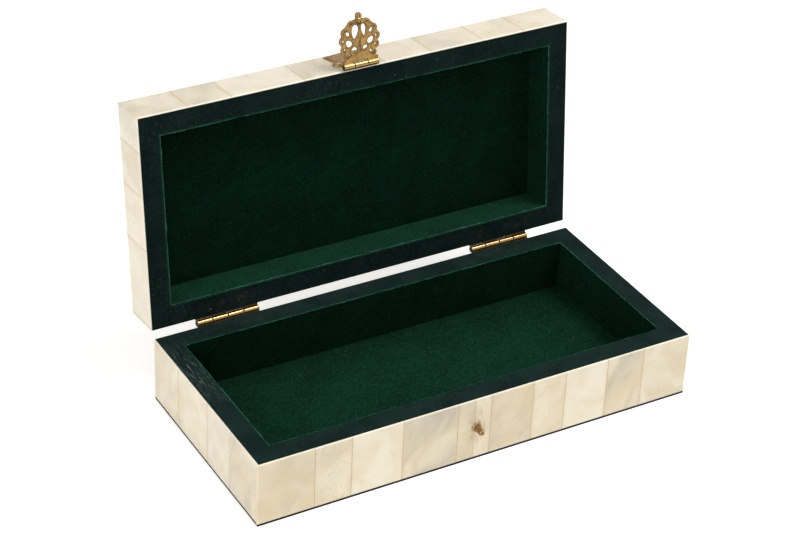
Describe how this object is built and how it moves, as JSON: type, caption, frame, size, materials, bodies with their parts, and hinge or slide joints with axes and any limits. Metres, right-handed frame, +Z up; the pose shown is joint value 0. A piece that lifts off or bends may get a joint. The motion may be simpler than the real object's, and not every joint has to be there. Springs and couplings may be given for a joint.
{
  "type": "bone inlay box",
  "caption": "Long low keepsake box with a hinged lid: bone tiles outside, green velvet inside, brass butt hinges and a pierced brass hasp that drops over a fixed stud.",
  "frame": {"origin": "centre of the felt under the base, on the surface the box stands on", "axes": "+X to the right along the length, +Y to the hinged back, +Z up"},
  "size_m": [0.254, 0.1653, 0.1896],
  "materials": {
    "bone": "satin polished",
    "wood": "sawn",
    "velvet": "short pile",
    "rim_covering": "matte",
    "felt": "matte",
    "polished_brass": "polished",
    "aged_brass": "aged",
    "steel": "bright"
  },
  "bodies": {
    "base": {"base_front_wall": "wood", "base_back_wall": "wood", "base_left_wall": "wood", "base_right_wall": "wood", "base_bottom_board": "wood", "base_front_tiles": "bone", "base_back_tiles": "bone", "base_left_tiles": "bone", "base_right_tiles": "bone", "base_rim_covering": "rim_covering", "base_lining_floor": "velvet", "base_lining_front": "velvet", "base_lining_back": "velvet", "base_lining_left": "velvet", "base_lining_right": "velvet", "base_felt": "felt", "left_hinge_base_leaf": "polished_brass", "right_hinge_base_leaf": "polished_brass", "left_hinge_pin": "polished_brass", "right_hinge_pin": "polished_brass", "hinge_base_screws": "steel", "catch_stud": "aged_brass"},
    "lid": {"lid_front_wall": "wood", "lid_back_wall": "wood", "lid_left_wall": "wood", "lid_right_wall": "wood", "lid_top_board": "wood", "lid_front_tiles": "bone", "lid_back_tiles": "bone", "lid_left_tiles": "bone", "lid_right_tiles": "bone", "lid_top_tiles": "bone", "lid_rim_covering": "rim_covering", "lid_lining_top": "velvet", "lid_lining_front": "velvet", "lid_lining_back": "velvet", "lid_lining_left": "velvet", "lid_lining_right": "velvet", "left_hinge_lid_leaf": "polished_brass", "right_hinge_lid_leaf": "polished_brass", "hinge_lid_screws": "steel", "hasp_plate": "aged_brass", "hasp_plate_pins": "steel", "hasp_pin": "aged_brass"},
    "hasp": {"hasp_leaf": "aged_brass"}
  },
  "joints": [
    {"name": "lid_hinge", "type": "hinge", "parent": "base", "child": "lid", "pos_m": [0, 0.0626, 0.03795], "axis": [1, 0, 0], "range_deg": [0, 96]},
    {"name": "hasp_hinge", "type": "hinge", "parent": "lid", "child": "hasp", "pos_m": [-0.0008, 0.07562, 0.16187], "axis": [1, 0, 0], "range_deg": [-84, 94]}
  ]
}
